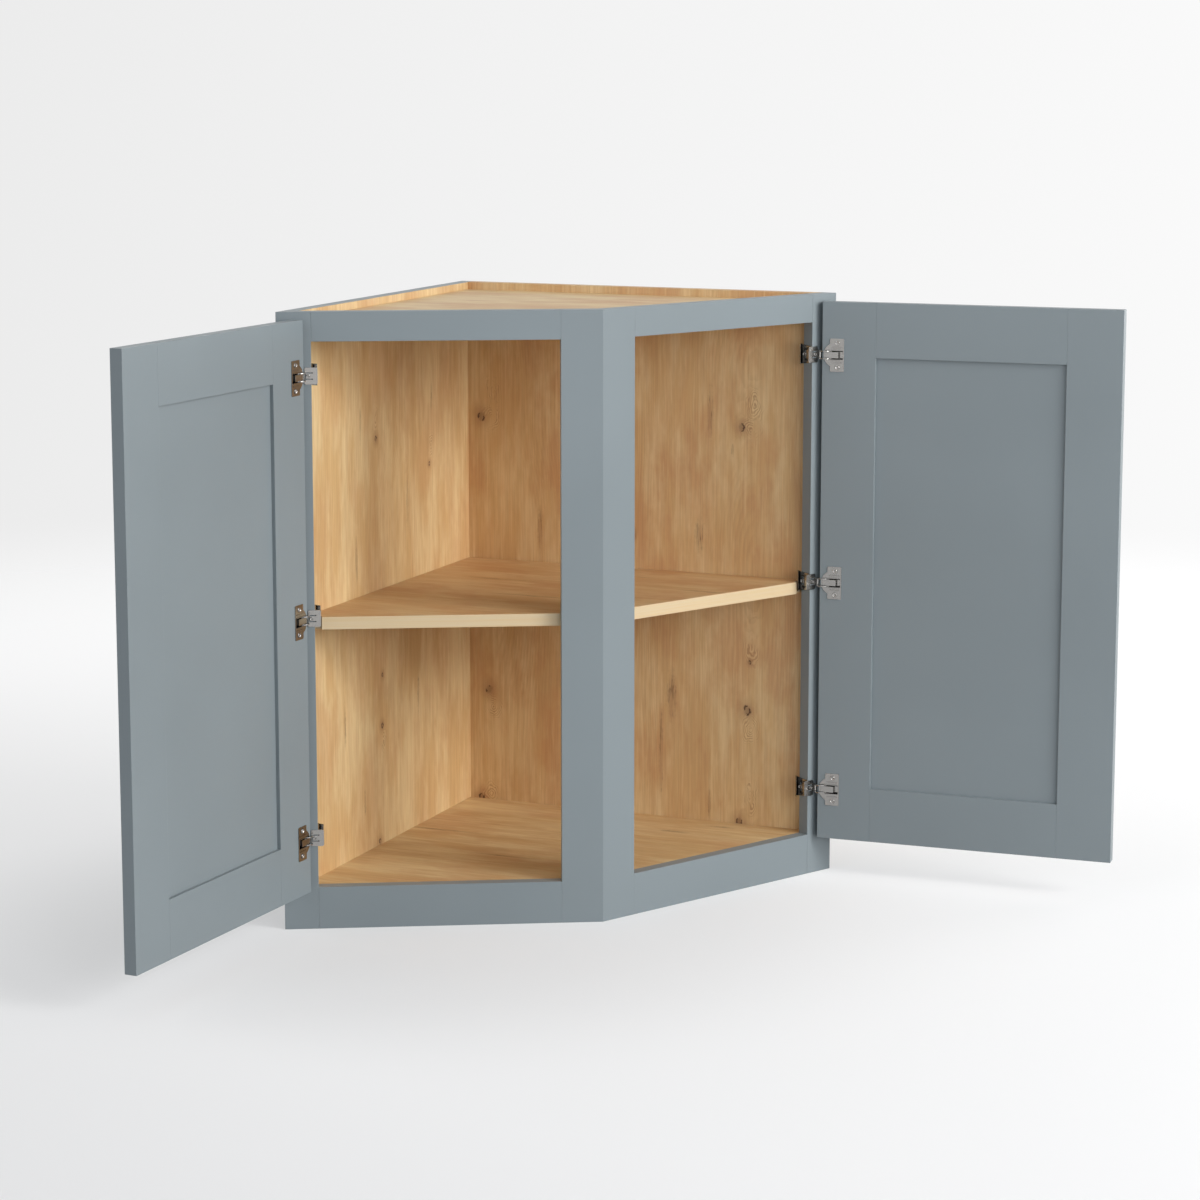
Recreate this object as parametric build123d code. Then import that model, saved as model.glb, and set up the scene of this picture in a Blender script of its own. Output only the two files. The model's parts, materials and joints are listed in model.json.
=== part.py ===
from build123d import *
import os
from math import atan2, cos, degrees, radians, tan

# Kite-shaped base end cabinet with two framed doors. The origin is the rear corner on the floor,
# where the two walls meet. +X runs along the back, -Y along the side, +Z up.

# Outer sizes of the cabinet
cabinet_height = 876.3
wall_run = 609.6
nose_run = 401.6

# Carcass boards
panel_thickness = 18.0
dado_depth = 6.0
top_panel_thickness = 18.0
top_recess = 11.2
bottom_panel_thickness = 18.0
shelf_thickness = 18.0
shelf_top_height = 445.8
shelf_clearance = 0.5
shelf_notch_clearance = 1.5

# Face frame
frame_thickness = 18.0
outer_stile_width = 48.2
nose_stile_width = 58.6
top_rail_height = 41.3
bottom_rail_height = 60.5
frame_tenon_length = 9.0
frame_tenon_thickness = 6.0
frame_tenon_shoulder = 8.0

# Doors
door_overlay = 41.3
door_nose_reveal = 0.9
door_thickness = 18.0
door_stile_width = 81.0
door_rail_width = 81.0
door_top_reveal = 10.5
door_bottom_overlay = 3.7
door_gap = 3.0
door_opening_angle = 120.0
open_corner_from_stile_edge = 10.6
open_corner_out = 10.2
centre_panel_thickness = 6.4
centre_panel_back_recess = 5.4
groove_depth = 10.0
panel_float = 1.0

# Hinges, three to a door
lower_hinge_from_door_end = 75.7
upper_hinge_from_door_end = 78.3
middle_hinge_below_middle = 12.5
cup_diameter = 35.0
cup_depth = 12.5
cup_edge_distance = 3.0
cup_floor = 0.8
flange_thickness = 1.0
flange_height = 49.0
flange_start = 12.0
flange_end = 33.3
flange_rim = 0.8
flange_corner_radius = 1.5
barrel_inset = 0.3
mouth_start = 5.0
mouth_end = 31.7
pocket_depth = 3.9
rib_width = 1.0
rib_height = 0.6
rib_end = 30.0
outer_rib_start = 14.5
outer_rib_inside = 10.6
hinge_pin_diameter = 3.0
pin_running_clearance = 0.05
pin_seat_depth = 1.2
cup_pin_from_edge = 12.0
cup_pin_depth = 2.0
link_pivot_offset = 14.0
link_side_thickness = 1.5
link_depth = 2.0
link_rise = 7.5
knuckle_radius = 2.6
knuckle_height = 9.0
knuckle_clearance = 0.3
knuckle_root_length = 6.0
bridge_thickness = 1.6
bridge_height = 23.5
bridge_start_gap = 2.8
bridge_overhang = 8.6
bridge_corner_radius = 2.5
arm_plate_thickness = 1.6
arm_plate_depth = 25.3
arm_plate_front_height = 24.0
arm_plate_back_height = 30.0
arm_wing_reach = 8.1
arm_wing_angle = 40.0
arm_cheek_depth = 15.0
arm_slot_height = 14.0
arm_slot_clearance = 0.2
tab_height = 7.2
tab_slot_width = 1.4
tab_slot_length = 10.8
tab_strip_width = 1.2

# Screws
screw_head_diameter = 7.0
screw_head_height = 1.0
screw_shank_diameter = 3.5
screw_head_sides = 12
screw_shank_sides = 6
cup_screw_spacing = 36.0
cup_screw_from_edge = 23.0
cup_screw_length = 12.0
arm_screw_depth = 14.0
arm_screw_length = 20.0
adjuster_head_diameter = 5.0
adjuster_head_height = 0.9
adjuster_shank_diameter = 3.0
adjuster_from_stile_edge = 4.7

# Shelf pins and glue blocks
shelf_pin_diameter = 5.0
shelf_pin_insertion = 9.0
shelf_pin_reach = 12.0
shelf_pin_plate_width = 12.0
shelf_pin_plate_thickness = 2.5
shelf_pin_from_corner = 60.0
shelf_pin_nose_setback = 24.0
glue_block_width = 18.0
glue_block_length = 80.0
glue_block_from_corner = 70.0

# Plan of the cabinet, worked out from the outer sizes
front_corner = Vector(0, -wall_run, 0)
nose = Vector(nose_run, -nose_run, 0)
face_length = (nose - front_corner).length
face_angle = atan2(wall_run - nose_run, nose_run)
mitre_angle = radians(45.0) - face_angle
face_location = Location((front_corner.X, front_corner.Y, 0), (0, 0, degrees(face_angle)))
symmetry_plane = Plane(origin=(0, 0, 0), x_dir=(0, 0, 1), z_dir=(1, 1, 0))

# Heights shared by several pieces
top_panel_top = cabinet_height - top_recess
bottom_panel_top = bottom_rail_height
door_bottom = bottom_rail_height - door_bottom_overlay
door_top = cabinet_height - door_top_reveal
shelf_bottom = shelf_top_height - shelf_thickness
opening_top = cabinet_height - top_rail_height
lower_hinge = door_bottom + lower_hinge_from_door_end
upper_hinge = door_top - upper_hinge_from_door_end
middle_hinge = (lower_hinge + upper_hinge) / 2 - middle_hinge_below_middle
hinge_heights = (lower_hinge, middle_hinge, upper_hinge)

# Hinge points on a face: x runs along the face from its outer end, y into the cabinet
door_reveal = outer_stile_width - door_overlay
door_width = face_length - door_reveal - door_nose_reveal
closed_corner = Vector(door_reveal, -door_gap, 0)
open_corner = Vector(outer_stile_width - open_corner_from_stile_edge, -open_corner_out, 0)
closed_door_location = Location((closed_corner.X, closed_corner.Y, 0))
open_door_location = Location((open_corner.X, open_corner.Y, 0), (0, 0, -door_opening_angle))
cup_centre_from_edge = cup_edge_distance + cup_diameter / 2
pin_radius = hinge_pin_diameter / 2
fork_inner = knuckle_height / 2 + knuckle_clearance
fork_outer = fork_inner + link_side_thickness
mouth_half = fork_outer + knuckle_clearance
door_pin_in_door = Vector(cup_pin_from_edge, -cup_pin_depth, 0)


def at_door(location, point):
    """A point of the door, carried to the face by the door's location."""
    return (location * Pos(point.X, point.Y, point.Z)).position


def fixed_pin_point():
    """The arm's pin: as far from the cup pin's closed place as from its open place."""
    closed_pin = at_door(closed_door_location, door_pin_in_door)
    open_pin = at_door(open_door_location, door_pin_in_door)
    travel = open_pin - closed_pin
    middle = (open_pin + closed_pin) * 0.5
    across = Vector(-travel.Y, travel.X, 0).normalized()
    return middle + across * link_pivot_offset


arm_pin = fixed_pin_point()
cup_pin = at_door(open_door_location, door_pin_in_door)
link_length = (cup_pin - arm_pin).length
cover_top = flange_thickness + rib_height
knuckle_root = arm_pin.X + knuckle_radius - knuckle_root_length
cover_end = knuckle_root - closed_corner.X - 2 * knuckle_clearance
link_turn = 2 * degrees(atan2((cup_pin - at_door(closed_door_location, door_pin_in_door)).length / 2,
                              link_pivot_offset))


def on_face(shape):
    """A piece drawn on the face, x along it and y into the cabinet, in its place."""
    return face_location * shape


def on_door(shape):
    """A piece drawn on the closed door, in its place on the open door."""
    return on_face(open_door_location * shape)


def right_hand(shape):
    """The same piece on the other side of the cabinet."""
    return mirror(shape, about=symmetry_plane)


def prism(corners, low, high):
    """An upright board over a plan outline."""
    outline = Polyline(*[(x, y, low) for x, y in corners], close=True)
    return extrude(make_face(outline), high - low, dir=(0, 0, 1))


def block(x0, x1, y0, y1, z0, z1):
    """A board with square edges between two corners."""
    return Pos((x0 + x1) / 2, (y0 + y1) / 2, (z0 + z1) / 2) * Box(x1 - x0, y1 - y0, z1 - z0)


def face_back_y(x):
    """Where the back of the left face frame crosses a line parallel to the side, in plan."""
    return -wall_run + x * tan(face_angle) + frame_thickness / cos(face_angle)


def carcass_outline(side_x, front_inset):
    """Plan of a board that fills the carcass out to side_x from both walls."""
    left_front = (side_x, face_back_y(side_x) + front_inset / cos(face_angle))
    nose_along = face_length - (frame_thickness + front_inset) * tan(mitre_angle)
    inner_nose = on_face(Pos(nose_along, frame_thickness + front_inset, 0)).position
    right_front = (-left_front[1], -left_front[0])
    return [(side_x, -side_x), left_front, (inner_nose.X, inner_nose.Y), right_front]


def bottom_panel():
    """Floor of the cabinet, seated in dados in the side and the back."""
    outline = carcass_outline(panel_thickness - dado_depth, 0)
    return prism(outline, bottom_panel_top - bottom_panel_thickness, bottom_panel_top)


def top_panel():
    """Top of the cabinet, a little below the rims."""
    outline = carcass_outline(panel_thickness - dado_depth, 0)
    return prism(outline, top_panel_top - top_panel_thickness, top_panel_top)


def shelf_notch():
    """Room in the shelf's front corner for the hinge arm that stands behind the left stile."""
    along = outer_stile_width + arm_wing_reach + shelf_notch_clearance
    back = arm_plate_depth + shelf_notch_clearance
    return on_face(block(0, along, 0, back, shelf_bottom, shelf_top_height))


def shelf():
    """Loose shelf that fills the plan, with a little room all round."""
    outline = carcass_outline(panel_thickness + shelf_clearance, shelf_clearance)
    notch = shelf_notch()
    return prism(outline, shelf_bottom, shelf_top_height) - notch - right_hand(notch)


def side_panel(pin_holes):
    """Side, as far as the rear corner, bevelled where it meets the face frame."""
    outline = [(0, 0), (0, face_back_y(0)),
               (panel_thickness, face_back_y(panel_thickness)), (panel_thickness, 0)]
    return prism(outline, 0, cabinet_height) - bottom_panel() - top_panel() - pin_holes


def back_panel(pin_holes):
    """Back, butted against the side at the rear corner."""
    outline = [(panel_thickness, 0), (-face_back_y(0), 0),
               (-face_back_y(panel_thickness), -panel_thickness), (panel_thickness, -panel_thickness)]
    return prism(outline, 0, cabinet_height) - bottom_panel() - top_panel() - pin_holes


def rail_tenon(low, high):
    """Plan of both tenons and the body of a rail, between two heights."""
    tenon_front = (frame_thickness - frame_tenon_thickness) / 2
    return block(outer_stile_width - frame_tenon_length, face_length - nose_stile_width + frame_tenon_length,
                 tenon_front, tenon_front + frame_tenon_thickness,
                 low + frame_tenon_shoulder, high - frame_tenon_shoulder)


def face_rail(low, high):
    """Rail of the face frame, with a tenon at each end."""
    body = block(outer_stile_width, face_length - nose_stile_width, 0, frame_thickness, low, high)
    return body + rail_tenon(low, high)


def face_mortises():
    """Room for the rails' tenons in both stiles."""
    return rail_tenon(0, bottom_rail_height) + rail_tenon(opening_top, cabinet_height)


def outer_stile(screw_holes):
    """Outer stile, bevelled flush with the side of the cabinet."""
    bevel = frame_thickness * tan(face_angle)
    outline = [(0, 0), (outer_stile_width, 0), (outer_stile_width, frame_thickness), (bevel, frame_thickness)]
    return prism(outline, 0, cabinet_height) - face_mortises() - screw_holes


def nose_stile(pin_holes):
    """Stile at the nose, mitred against the other face's stile."""
    mitre = frame_thickness * tan(mitre_angle)
    inner = face_length - nose_stile_width
    outline = [(inner, 0), (face_length, 0), (face_length - mitre, frame_thickness), (inner, frame_thickness)]
    return prism(outline, 0, cabinet_height) - face_mortises() - pin_holes


def centre_panel():
    """Flat panel that floats in the grooves of the door's frame."""
    reach = groove_depth - panel_float
    front = centre_panel_back_recess + centre_panel_thickness
    return block(door_stile_width - reach, door_width - door_stile_width + reach,
                 -front, -centre_panel_back_recess,
                 door_bottom + door_rail_width - reach, door_top - door_rail_width + reach)


def door_groove():
    """Room for the panel and the rails' tongues round the inner edges of the door's frame."""
    front = centre_panel_back_recess + centre_panel_thickness
    return block(door_stile_width - groove_depth, door_width - door_stile_width + groove_depth,
                 -front, -centre_panel_back_recess,
                 door_bottom + door_rail_width - groove_depth, door_top - door_rail_width + groove_depth)


def rail_tongues(low, high):
    """Tongues of a door rail, which fill the stiles' grooves at its ends."""
    front = centre_panel_back_recess + centre_panel_thickness
    return block(door_stile_width - groove_depth, door_width - door_stile_width + groove_depth,
                 -front, -centre_panel_back_recess, low, high)


def door_rail(low, high, tongue_low, tongue_high):
    """Rail of the door, grooved for the panel and tongued into the stiles."""
    body = block(door_stile_width, door_width - door_stile_width, -door_thickness, 0, low, high)
    return (body + rail_tongues(tongue_low, tongue_high)) - door_groove()


def door_bottom_rail():
    """Lower rail of the door."""
    high = door_bottom + door_rail_width
    return door_rail(door_bottom, high, door_bottom + groove_depth, high)


def door_top_rail():
    """Upper rail of the door."""
    low = door_top - door_rail_width
    return door_rail(low, door_top, low, door_top - groove_depth)


def door_stile(start, cuts):
    """Stile of the door, full height, with the rails' and the panel's grooves cut in it."""
    body = block(start, start + door_stile_width, -door_thickness, 0, door_bottom, door_top)
    tongues = rail_tongues(door_bottom + groove_depth, door_top - groove_depth)
    return body - tongues - cuts


def cup_barrel():
    """The cup's round body, flat at the flange's end, which fills its bore in the door."""
    end = flange_end - barrel_inset
    outline = Pos(cup_centre_from_edge, 0) * Circle(cup_diameter / 2)
    outline = outline & (Pos(end / 2, 0) * Rectangle(end, cup_diameter))
    return Rot(90, 0, 0) * extrude(outline, cup_depth)


def cup_flange():
    """Screw flange on the door's back face, with the cup's rim towards the door's edge."""
    plate = RectangleRounded(flange_end - flange_start, flange_height, flange_corner_radius)
    plate = Pos((flange_start + flange_end) / 2, 0) * plate
    rim = Pos(cup_centre_from_edge, 0) * Circle(cup_diameter / 2 + flange_rim)
    rim = rim & (Pos(flange_end / 2, 0) * Rectangle(flange_end, cup_diameter + 2 * flange_rim))
    return Rot(90, 0, 0) * extrude(plate + rim, -flange_thickness)


def cup_mouth():
    """Room in the cup for the link's fork."""
    return block(mouth_start, mouth_end, cup_floor - cup_depth, flange_thickness, -mouth_half, mouth_half)


def damper_cover():
    """Box between the fork's sides, over its tube, with a pocket for the arm's knuckle at its end."""
    half = knuckle_height / 2
    box = block(mouth_start, cover_end, cup_floor - cup_depth, cover_top, -half, half)
    pocket_floor = block(cover_end, mouth_end, cup_floor - cup_depth, -pocket_depth, -half, half)
    tube_room = Cylinder(knuckle_radius + knuckle_clearance, knuckle_height)
    return box + pocket_floor - Pos(cup_pin_from_edge, -cup_pin_depth, 0) * tube_room


def cup_ribs():
    """Two ribs on each side of the mouth."""
    start = cup_pin_from_edge - knuckle_radius
    inner = block(start, rib_end, 0, cover_top, mouth_half, mouth_half + rib_width)
    outer = block(outer_rib_start, rib_end, 0, cover_top, outer_rib_inside, outer_rib_inside + rib_width)
    return inner + outer


def cup():
    """Hinge cup: barrel, flange, damper cover and ribs."""
    shell = cup_barrel() + cup_flange() - cup_mouth() + damper_cover()
    shell = shell + cup_ribs() + mirror(cup_ribs(), about=Plane.XY)
    return shell - cup_pin_solid() - cup_screws()


def cup_pin_solid():
    """Pin through the cup's walls, which carries the link."""
    return Pos(cup_pin_from_edge, -cup_pin_depth, 0) * Cylinder(pin_radius, 2 * (mouth_half + pin_seat_depth))


def screw(head_diameter, head_height, shank_diameter, length):
    """Screw along -Z from its seat at z=0, with a low domed head."""
    head = extrude(RegularPolygon(head_diameter / 2, screw_head_sides), head_height, taper=30)
    return head + extrude(RegularPolygon(shank_diameter / 2, screw_shank_sides), -length)


def cup_screws():
    """The cup's two screws, through the flange into the door."""
    one = screw(screw_head_diameter, screw_head_height, screw_shank_diameter, cup_screw_length)
    half = cup_screw_spacing / 2
    pair = [Pos(cup_screw_from_edge, flange_thickness, z) * Rot(-90, 0, 0) * one for z in (-half, half)]
    return Compound(children=pair)


def arm_screw():
    """Screw that holds the arm to the inner edge of the stile."""
    one = screw(screw_head_diameter, screw_head_height, screw_shank_diameter, arm_screw_length)
    return Pos(outer_stile_width + arm_plate_thickness, arm_screw_depth, 0) * Rot(0, 90, 0) * one


def adjuster_screw():
    """Adjusting screw on the front of the arm."""
    one = screw(adjuster_head_diameter, adjuster_head_height, adjuster_shank_diameter, bridge_thickness)
    return Pos(outer_stile_width - adjuster_from_stile_edge, -bridge_thickness, 0) * Rot(90, 0, 0) * one


def arm_pin_solid():
    """Pin through the arm's knuckle, on which the link turns."""
    return Pos(arm_pin.X, arm_pin.Y, 0) * Cylinder(pin_radius, 2 * fork_outer)


def arm_knuckle():
    """Knuckle of the arm round its pin, with the neck that joins it to the front plate."""
    eye = Pos(arm_pin.X, arm_pin.Y) * Circle(knuckle_radius)
    root = Pos(knuckle_root + knuckle_root_length / 2, -bridge_thickness / 2)
    outline = make_hull(eye.edges() + (root * Rectangle(knuckle_root_length, bridge_thickness)).edges())
    half = knuckle_height / 2
    neck = block(arm_pin.X, arm_pin.X + bridge_start_gap + tab_strip_width, -bridge_thickness, 0, -half, half)
    return Pos(0, 0, -half) * extrude(outline, knuckle_height) + neck


def tab_slot():
    """Plan of the bent slot that frees the adjusting screw's tab in the front plate."""
    start = arm_pin.X + bridge_start_gap + tab_strip_width
    end = start + tab_slot_length
    around = Pos((start + end) / 2, 0) * Rectangle(end - start, tab_height + 2 * tab_slot_width)
    tab_start = start + tab_slot_width
    return around - Pos((tab_start + end) / 2, 0) * Rectangle(end - tab_start, tab_height)


def arm_bridge():
    """Front plate of the arm, over the face of the stile and past its inner edge."""
    start = arm_pin.X + bridge_start_gap
    end = outer_stile_width + bridge_overhang
    plate = Pos((start + end) / 2, 0) * RectangleRounded(end - start, bridge_height, bridge_corner_radius)
    return Rot(90, 0, 0) * extrude(plate - tab_slot(), bridge_thickness)


def arm_wing():
    """Wing at the back of the arm's plate, bent forward into the opening."""
    start = outer_stile_width
    end = start + arm_wing_reach
    rise = arm_wing_reach * tan(radians(arm_wing_angle))
    thickness = arm_plate_thickness / cos(radians(arm_wing_angle))
    corners = [(start, arm_plate_depth), (end, arm_plate_depth - rise),
               (end, arm_plate_depth - rise - thickness), (start, arm_plate_depth - thickness)]
    return prism(corners, -arm_plate_back_height / 2, arm_plate_back_height / 2)


def arm_plate():
    """Plate of the arm on the inner edge of the stile, wider towards the back."""
    front = arm_plate_front_height / 2
    back = arm_plate_back_height / 2
    start = outer_stile_width
    outline = Polyline((start, 0, -front), (start, 0, front), (start, arm_plate_depth, back),
                       (start, arm_plate_depth, -back), close=True)
    plate = extrude(make_face(outline), arm_plate_thickness, dir=(1, 0, 0))
    slot = SlotOverall(arm_slot_height, screw_shank_diameter + 2 * arm_slot_clearance)
    slot = Pos(start, arm_screw_depth, 0) * Rot(0, 90, 0) * extrude(slot, arm_plate_thickness)
    return plate - slot + arm_wing()


def arm_cheeks():
    """Two side walls between the front plate and the edge plate."""
    outer = bridge_height / 2 - bridge_corner_radius
    start = outer_stile_width
    corners = [(start, 0), (start + bridge_overhang, 0), (start + arm_plate_thickness, arm_cheek_depth),
               (start, arm_cheek_depth)]
    cheek = prism(corners, outer - arm_plate_thickness, outer)
    return cheek + mirror(cheek, about=Plane.XY)


def arm():
    """Arm of a hinge, fixed to the face frame."""
    return arm_bridge() + arm_knuckle() + arm_plate() + arm_cheeks() - arm_pin_solid() - adjuster_screw()


def link_fork():
    """The link from its arm pin at the origin to its cup pin along +X: two curved sides and a tube."""
    curve = ThreePointArc((0, 0), (link_length / 2, link_rise), (link_length, 0))
    eye = Circle(knuckle_radius)
    outline = SlotArc(curve, link_depth) + eye + Pos(link_length, 0) * eye
    side = Pos(0, 0, fork_inner) * extrude(outline, link_side_thickness)
    tube = Pos(link_length, 0) * Cylinder(knuckle_radius, 2 * fork_inner)
    bore = Cylinder(pin_radius + pin_running_clearance, 2 * fork_outer)
    return side + mirror(side, about=Plane.XY) + tube - bore - Pos(link_length, 0) * bore


def link():
    """Forked link that carries the door from the arm's pin to the cup's pin."""
    along = cup_pin - arm_pin
    return Location((arm_pin.X, arm_pin.Y, 0), (0, 0, degrees(atan2(along.Y, along.X)))) * link_fork()


def at_hinges(shape):
    """A hinge piece at each hinge height, as one group."""
    return Compound(children=[Pos(0, 0, height) * shape for height in hinge_heights])


def shelf_pin():
    """Peg along +X into a board that starts at x=0, with the small plate that the shelf rests on."""
    plate = block(-shelf_pin_reach, 0, -shelf_pin_plate_width / 2, shelf_pin_plate_width / 2,
                  -shelf_pin_plate_thickness, 0)
    radius = shelf_pin_diameter / 2
    peg_length = shelf_pin_reach + shelf_pin_insertion
    middle = (shelf_pin_insertion - shelf_pin_reach) / 2
    peg = Pos(middle, 0, -radius) * Rot(0, 90, 0) * Cylinder(radius, peg_length)
    return plate + (peg - block(-peg_length, peg_length, -radius, radius, 0, radius))


def side_shelf_pins():
    """Pins in the side panel, near its two ends."""
    front_y = face_back_y(panel_thickness) + shelf_pin_from_corner
    back_y = -panel_thickness - shelf_pin_from_corner
    return [Pos(panel_thickness, y, shelf_bottom) * Rot(0, 0, 180) * shelf_pin() for y in (back_y, front_y)]


def nose_shelf_pin():
    """Pin in the back of the nose stile."""
    along = face_length - shelf_pin_nose_setback
    return Pos(along, frame_thickness, shelf_bottom) * Rot(0, 0, -90) * shelf_pin()


def glue_blocks():
    """Blocks under the floor, against the walls and the lower rails."""
    high = bottom_panel_top - bottom_panel_thickness
    low = high - glue_block_width
    side = panel_thickness + glue_block_width
    last = wall_run - glue_block_from_corner - 2 * glue_block_length
    blocks = []
    for start in (glue_block_from_corner, last):
        blocks.append(block(panel_thickness, side, -start - glue_block_length, -start, low, high))
    middle = (outer_stile_width + face_length - nose_stile_width) / 2
    half = glue_block_length / 2
    behind = frame_thickness + glue_block_width
    blocks.append(on_face(block(middle - half, middle + half, frame_thickness, behind, low, high)))
    return blocks


def save(node, shape):
    """Write one node and say how large it is."""
    export_step(shape, "parts/" + node + ".step")
    size = shape.bounding_box().size
    print(f"{node:32s} {len(shape.solids())} solids  {size.X:8.2f} {size.Y:8.2f} {size.Z:8.2f}")


def left_face_pieces():
    """Face frame and hinge arms of the left face, by name."""
    arm_screws = at_hinges(arm_screw())
    pieces = {
        "outer_stile": outer_stile(arm_screws),
        "nose_stile": nose_stile(nose_shelf_pin()),
        "top_rail": face_rail(opening_top, cabinet_height),
        "bottom_rail": face_rail(0, bottom_rail_height),
        "arm_screws": arm_screws,
        "adjuster_screws": at_hinges(adjuster_screw()),
        "arm_pins": at_hinges(arm_pin_solid()),
    }
    for name, height in zip(("lower", "middle", "upper"), hinge_heights):
        pieces[name + "_hinge_arm"] = Pos(0, 0, height) * arm()
        pieces[name + "_hinge_link"] = Pos(0, 0, height) * link()
    return {name: on_face(piece) for name, piece in pieces.items()}


def left_door_pieces():
    """The left door and its hinge cups, by name."""
    bores = at_hinges(cup_barrel()) + at_hinges(cup_screws())
    pieces = {
        "door_hinge_stile": door_stile(0, bores),
        "door_latch_stile": door_stile(door_width - door_stile_width, []),
        "door_top_rail": door_top_rail(),
        "door_bottom_rail": door_bottom_rail(),
        "door_centre_panel": centre_panel(),
        "cup_pins": at_hinges(cup_pin_solid()),
        "cup_screws": at_hinges(cup_screws()),
    }
    for name, height in zip(("lower", "middle", "upper"), hinge_heights):
        pieces[name + "_hinge_cup"] = Pos(0, 0, height) * cup()
    return {name: on_door(piece) for name, piece in pieces.items()}


def main():
    """Write every node of the cabinet."""
    os.makedirs("parts", exist_ok=True)
    side_pins = side_shelf_pins()
    blocks = glue_blocks()
    shared = {
        "side_panel": side_panel(side_pins),
        "back_panel": back_panel([right_hand(pin) for pin in side_pins]),
        "top_panel": top_panel(),
        "bottom_panel": bottom_panel(),
        "shelf": shelf(),
    }
    half_pins = side_pins + [on_face(nose_shelf_pin())]
    shared["shelf_pins"] = Compound(children=half_pins + [right_hand(pin) for pin in half_pins])
    shared["glue_blocks"] = Compound(children=blocks + [right_hand(piece) for piece in blocks])
    for node, piece in shared.items():
        save(node, piece)
    pairs = {**left_face_pieces(), **left_door_pieces()}
    for name, piece in pairs.items():
        save("left_" + name, piece)
        save("right_" + name, right_hand(piece))
    print("arm pin", on_face(Pos(*arm_pin)).position)
    print("cup pin", on_face(Pos(*cup_pin)).position)
    print("link turns", link_turn, "length", link_length)


main()
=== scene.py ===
import json
import math

import bmesh
import bpy
from mathutils import Matrix, Vector

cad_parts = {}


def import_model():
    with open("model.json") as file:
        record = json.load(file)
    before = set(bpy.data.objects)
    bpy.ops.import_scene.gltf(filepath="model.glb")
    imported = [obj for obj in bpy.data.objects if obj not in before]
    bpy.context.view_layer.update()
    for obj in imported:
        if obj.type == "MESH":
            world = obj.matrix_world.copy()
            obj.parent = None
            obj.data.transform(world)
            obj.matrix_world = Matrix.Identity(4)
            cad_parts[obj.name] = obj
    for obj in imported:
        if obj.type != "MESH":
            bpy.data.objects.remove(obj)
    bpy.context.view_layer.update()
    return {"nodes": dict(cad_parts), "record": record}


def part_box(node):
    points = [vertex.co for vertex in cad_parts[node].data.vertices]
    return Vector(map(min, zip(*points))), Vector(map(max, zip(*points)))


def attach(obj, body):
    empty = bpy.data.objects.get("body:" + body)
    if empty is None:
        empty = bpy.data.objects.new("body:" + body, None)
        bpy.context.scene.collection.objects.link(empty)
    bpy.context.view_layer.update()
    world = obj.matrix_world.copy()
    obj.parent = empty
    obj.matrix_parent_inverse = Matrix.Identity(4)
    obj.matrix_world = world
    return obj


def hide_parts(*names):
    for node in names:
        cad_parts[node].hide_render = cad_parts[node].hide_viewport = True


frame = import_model()

# Sizes in metres, in the cabinet's own frame: rear corner on the floor at the origin, +X along the back,
# -Y along the side, +Z up. The left face runs from the end of the side wall to the nose.
CABINET_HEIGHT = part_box("side_panel")[1].z
WALL = -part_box("left_outer_stile")[0].y
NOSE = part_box("left_nose_stile")[1].x
FACE_ANGLE = math.atan2(WALL - NOSE, NOSE)
DOOR_TURN = math.radians(120.0)
PAINT_SKIN = 0.0005  # how deep the side board counts as painted
EDGE_ROUNDING = 0.0004
SMOOTH_BELOW = math.radians(35.0)

# Finishes. An edge is the radius that edges are shaded with, and a relief the height of fine marks.
PAINT_COLOUR = (0.221, 0.256, 0.270)
PAINT_ROUGHNESS = (0.37, 0.44)
PAINT_SPECULAR = 0.30
PAINT_EDGE = 0.0007
PAINT_RELIEF = 0.00006
NICKEL_COLOUR = (0.370, 0.360, 0.345)
NICKEL_ROUGHNESS = (0.16, 0.27)
NICKEL_EDGE = 0.00025
NICKEL_RELIEF = 0.00003
# Painted shade in the nickel's crevices: the share of its colour left where it is darkest, and how far off
# the crevices are found.
CREVICE_SHADE_SHARE = 0.06
CREVICE_SHADE_REACH = 0.0030
WOOD_ROUGHNESS = 0.46
WOOD_EDGE = 0.0005
WOOD_RELIEF = 0.00005
WOOD_PALE = (0.760, 0.580, 0.310)
WOOD_GOLD = (0.640, 0.425, 0.195)
WOOD_RED = (0.550, 0.290, 0.128)
WOOD_BROWN = (0.310, 0.145, 0.062)
WOOD_KNOT = (0.100, 0.045, 0.022)
BAND_PALE = (0.645, 0.508, 0.318)
RING_SPACING = 0.0046
EYE_SPACING = 0.0031
HEART_SPACING = 0.430
KNOT_STRETCH = 1.25

# How strongly each layer of the wood shows
MEDIUM_SHARE = 0.30
RING_SHARE = 0.16
THREAD_SHARE = 0.20
GLEAM_SHARE = 0.38
EYE_DIM_SHARE = 0.52
EYE_BRIGHT_SHARE = 0.38

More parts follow.
